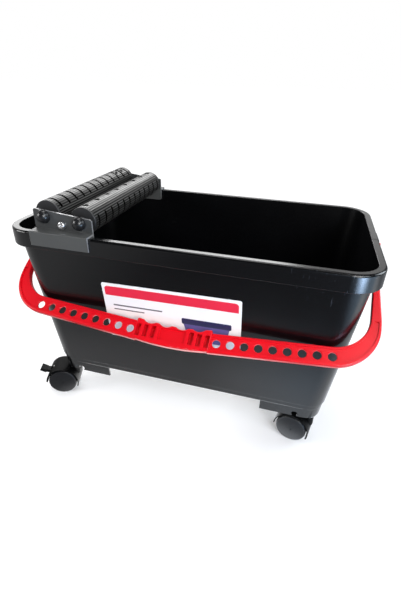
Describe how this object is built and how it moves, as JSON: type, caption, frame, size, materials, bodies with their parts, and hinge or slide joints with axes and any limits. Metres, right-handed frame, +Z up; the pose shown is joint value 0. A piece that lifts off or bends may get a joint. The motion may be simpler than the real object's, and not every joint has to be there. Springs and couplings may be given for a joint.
{
  "type": "grout cleaning bucket",
  "caption": "Rectangular black wash bucket on swivel twin-wheel casters, with a red carrying bail and a pair of wringer rollers hung on the rim for squeezing out a sponge float.",
  "frame": {"origin": "on the floor, in the middle of the whole footprint", "axes": "+X along the tub to the right, +Y to the back, away from the bail at rest, +Z up"},
  "size_m": [0.5388, 0.3083, 0.3562],
  "materials": {
    "tub_plastic": "satin black moulded plastic",
    "label_sheet": "white stuck-on sheet, semi-gloss",
    "handle_plastic": "red moulded plastic, semi-gloss",
    "pin_plastic": "black plastic, semi-gloss",
    "bracket_paint": "dark satin coat",
    "roller_plastic": "dark grey, satin",
    "end_cap_plastic": "dark grey, satin",
    "tie_bar_paint": "dark satin coat",
    "zinc_steel": "zinc plated",
    "dome_plastic": "glossy black",
    "spacer_nylon": "dark nylon",
    "axle_steel": "bright steel",
    "hood_plastic": "satin black",
    "wheel_plastic": "dark grey, satin",
    "wheel_cap_plastic": "grey, satin",
    "lever_plastic": "satin black"
  },
  "bodies": {
    "tub": {"tub": "tub_plastic", "front_label": "label_sheet", "bail_pivot_pin_left": "pin_plastic", "bail_pivot_pin_right": "pin_plastic", "caster_front_left_stem": "axle_steel", "caster_front_right_stem": "axle_steel", "caster_rear_left_stem": "axle_steel", "caster_rear_right_stem": "axle_steel"},
    "bail": {"bail_handle": "handle_plastic"},
    "wringer": {"wringer_bracket_front": "bracket_paint", "wringer_bracket_rear": "bracket_paint", "wringer_tie_bar": "tie_bar_paint", "tie_bar_screws": "zinc_steel", "roller_left_axle": "axle_steel", "roller_right_axle": "axle_steel", "axle_dome_nuts": "dome_plastic", "roller_spacers": "spacer_nylon"},
    "roller_left": {"wringer_roller_left": "roller_plastic", "roller_left_end_caps": "end_cap_plastic"},
    "roller_right": {"wringer_roller_right": "roller_plastic", "roller_right_end_caps": "end_cap_plastic"},
    "caster_front_left": {"caster_front_left_hood": "hood_plastic", "caster_front_left_axle": "axle_steel", "caster_front_left_brake_pin": "axle_steel"},
    "caster_front_left_left_wheel": {"caster_front_left_wheel_left": "wheel_plastic", "caster_front_left_cap_left": "wheel_cap_plastic"},
    "caster_front_left_right_wheel": {"caster_front_left_wheel_right": "wheel_plastic", "caster_front_left_cap_right": "wheel_cap_plastic"},
    "caster_front_left_brake": {"caster_front_left_brake_lever": "lever_plastic"},
    "caster_front_right": {"caster_front_right_hood": "hood_plastic", "caster_front_right_axle": "axle_steel"},
    "caster_front_right_left_wheel": {"caster_front_right_wheel_left": "wheel_plastic", "caster_front_right_cap_left": "wheel_cap_plastic"},
    "caster_front_right_right_wheel": {"caster_front_right_wheel_right": "wheel_plastic", "caster_front_right_cap_right": "wheel_cap_plastic"},
    "caster_rear_left": {"caster_rear_left_hood": "hood_plastic", "caster_rear_left_axle": "axle_steel"},
    "caster_rear_left_left_wheel": {"caster_rear_left_wheel_left": "wheel_plastic", "caster_rear_left_cap_left": "wheel_cap_plastic"},
    "caster_rear_left_right_wheel": {"caster_rear_left_wheel_right": "wheel_plastic", "caster_rear_left_cap_right": "wheel_cap_plastic"},
    "caster_rear_right": {"caster_rear_right_hood": "hood_plastic", "caster_rear_right_axle": "axle_steel", "caster_rear_right_brake_pin": "axle_steel"},
    "caster_rear_right_left_wheel": {"caster_rear_right_wheel_left": "wheel_plastic", "caster_rear_right_cap_left": "wheel_cap_plastic"},
    "caster_rear_right_right_wheel": {"caster_rear_right_wheel_right": "wheel_plastic", "caster_rear_right_cap_right": "wheel_cap_plastic"},
    "caster_rear_right_brake": {"caster_rear_right_brake_lever": "lever_plastic"}
  },
  "joints": [
    {"name": "bail_swing", "type": "hinge", "parent": "tub", "child": "bail", "pos_m": [0, 0.00953, 0.2996], "axis": [-1, 0, 0], "range_deg": [0, 252]},
    {"name": "wringer_lift", "type": "slide", "parent": "tub", "child": "wringer", "axis": [0, 0, 1], "range_m": [0, 0.06]},
    {"name": "roller_left_spin", "type": "hinge", "parent": "wringer", "child": "roller_left", "pos_m": [-0.188, 0.00953, 0.3372], "axis": [0, 1, 0], "continuous": true},
    {"name": "roller_right_spin", "type": "hinge", "parent": "wringer", "child": "roller_right", "pos_m": [-0.135, 0.00953, 0.3327], "axis": [0, 1, 0], "continuous": true},
    {"name": "caster_front_left_swivel", "type": "hinge", "parent": "tub", "child": "caster_front_left", "pos_m": [-0.20736, -0.08383, 0.054], "axis": [0, 0, 1], "continuous": true},
    {"name": "caster_front_left_left_wheel_spin", "type": "hinge", "parent": "caster_front_left", "child": "caster_front_left_left_wheel", "pos_m": [-0.22803, -0.09135, 0.024], "axis": [-0.342, 0.9397, 0], "continuous": true},
    {"name": "caster_front_left_right_wheel_spin", "type": "hinge", "parent": "caster_front_left", "child": "caster_front_left_right_wheel", "pos_m": [-0.22803, -0.09135, 0.024], "axis": [-0.342, 0.9397, 0], "continuous": true},
    {"name": "caster_front_left_brake_press", "type": "hinge", "parent": "caster_front_left", "child": "caster_front_left_brake", "pos_m": [-0.23465, -0.09376, 0.03724], "axis": [0.342, -0.9397, 0], "range_deg": [0, 14]},
    {"name": "caster_front_right_swivel", "type": "hinge", "parent": "tub", "child": "caster_front_right", "pos_m": [0.20736, -0.08383, 0.054], "axis": [0, 0, 1], "continuous": true},
    {"name": "caster_front_right_left_wheel_spin", "type": "hinge", "parent": "caster_front_right", "child": "caster_front_right_left_wheel", "pos_m": [0.18584, -0.07925, 0.024], "axis": [0.2079, 0.9781, 0], "continuous": true},
    {"name": "caster_front_right_right_wheel_spin", "type": "hinge", "parent": "caster_front_right", "child": "caster_front_right_right_wheel", "pos_m": [0.18584, -0.07925, 0.024], "axis": [0.2079, 0.9781, 0], "continuous": true},
    {"name": "caster_rear_left_swivel", "type": "hinge", "parent": "tub", "child": "caster_rear_left", "pos_m": [-0.20736, 0.10289, 0.054], "axis": [0, 0, 1], "continuous": true},
    {"name": "caster_rear_left_left_wheel_spin", "type": "hinge", "parent": "caster_rear_left", "child": "caster_rear_left_left_wheel", "pos_m": [-0.22915, 0.09983, 0.024], "axis": [-0.1392, 0.9903, 0], "continuous": true},
    {"name": "caster_rear_left_right_wheel_spin", "type": "hinge", "parent": "caster_rear_left", "child": "caster_rear_left_right_wheel", "pos_m": [-0.22915, 0.09983, 0.024], "axis": [-0.1392, 0.9903, 0], "continuous": true},
    {"name": "caster_rear_right_swivel", "type": "hinge", "parent": "tub", "child": "caster_rear_right", "pos_m": [0.20736, 0.10289, 0.054], "axis": [0, 0, 1], "continuous": true},
    {"name": "caster_rear_right_left_wheel_spin", "type": "hinge", "parent": "caster_rear_right", "child": "caster_rear_right_left_wheel", "pos_m": [0.18537, 0.10366, 0.024], "axis": [0.0349, 0.9994, 0], "continuous": true},
    {"name": "caster_rear_right_right_wheel_spin", "type": "hinge", "parent": "caster_rear_right", "child": "caster_rear_right_right_wheel", "pos_m": [0.18537, 0.10366, 0.024], "axis": [0.0349, 0.9994, 0], "continuous": true},
    {"name": "caster_rear_right_brake_press", "type": "hinge", "parent": "caster_rear_right", "child": "caster_rear_right_brake", "pos_m": [0.17834, 0.10391, 0.03724], "axis": [-0.0349, -0.9994, 0], "range_deg": [0, 14]}
  ]
}
